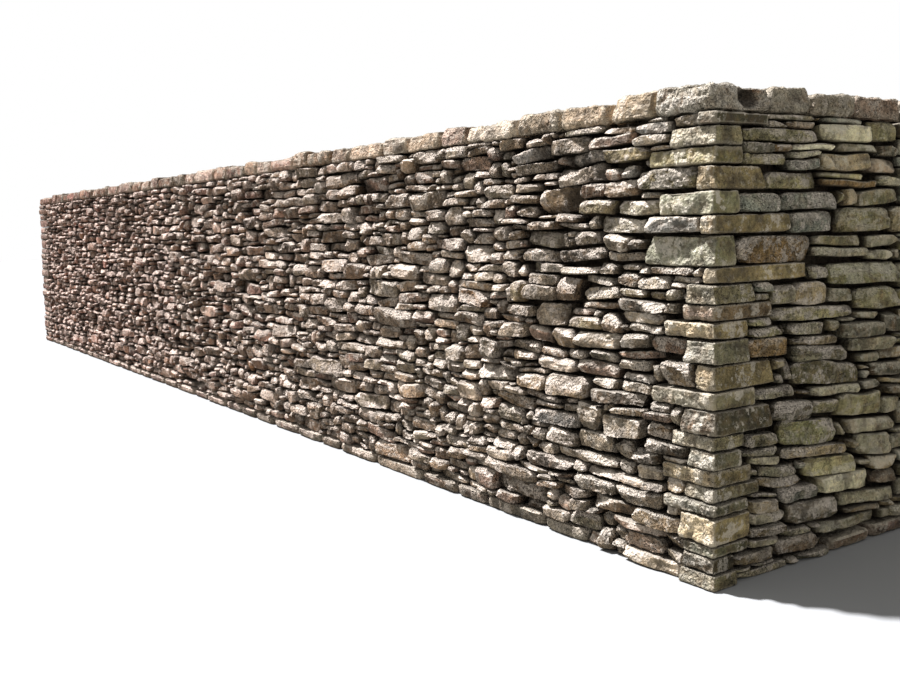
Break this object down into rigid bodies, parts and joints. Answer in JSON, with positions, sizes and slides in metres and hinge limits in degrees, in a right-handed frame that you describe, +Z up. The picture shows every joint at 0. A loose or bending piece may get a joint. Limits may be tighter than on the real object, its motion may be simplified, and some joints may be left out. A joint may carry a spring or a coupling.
{
  "type": "dry stone retaining wall with one outer corner",
  "caption": "L-shaped dry-laid rubble retaining wall, coursed flat stones, bonded outer corner, flat cope and plain ends.",
  "frame": {"origin": "foot of the outer corner at ground level, where the setting-out lines of the two faces cross", "axes": "front arm runs along -X and faces -Y; return arm runs along +Y and faces +X; +Z up"},
  "size_m": [12.8853, 4.8453, 2.114],
  "materials": {
    "walling_stone": "rough",
    "corner_stone": "rough",
    "cope_stone": "rough",
    "base_stone": "rough",
    "end_stone": "rough"
  },
  "bodies": {
    "root": {"corner_backing": "walling_stone", "corner_cap": "cope_stone", "corner_quoins_even_courses": "corner_stone", "corner_quoins_odd_courses": "corner_stone", "front_base_course_1": "base_stone", "front_base_course_2": "base_stone", "front_base_course_3": "base_stone", "front_base_course_4": "base_stone", "front_base_course_5": "base_stone", "front_base_course_6": "base_stone", "front_cope_1": "cope_stone", "front_cope_2": "cope_stone", "front_cope_3": "cope_stone", "front_cope_4": "cope_stone", "front_cope_5": "cope_stone", "front_cope_6": "cope_stone", "front_end_base": "base_stone", "front_end_runners": "end_stone", "front_end_ties": "end_stone", "front_wall_1": "walling_stone", "front_wall_2": "walling_stone", "front_wall_3": "walling_stone", "front_wall_4": "walling_stone", "front_wall_5": "walling_stone", "front_wall_6": "walling_stone", "return_base_course_1": "base_stone", "return_base_course_2": "base_stone", "return_cope_1": "cope_stone", "return_cope_2": "cope_stone", "return_end_base": "base_stone", "return_end_runners": "end_stone", "return_end_ties": "end_stone", "return_wall_1": "walling_stone", "return_wall_2": "walling_stone"}
  },
  "joints": []
}
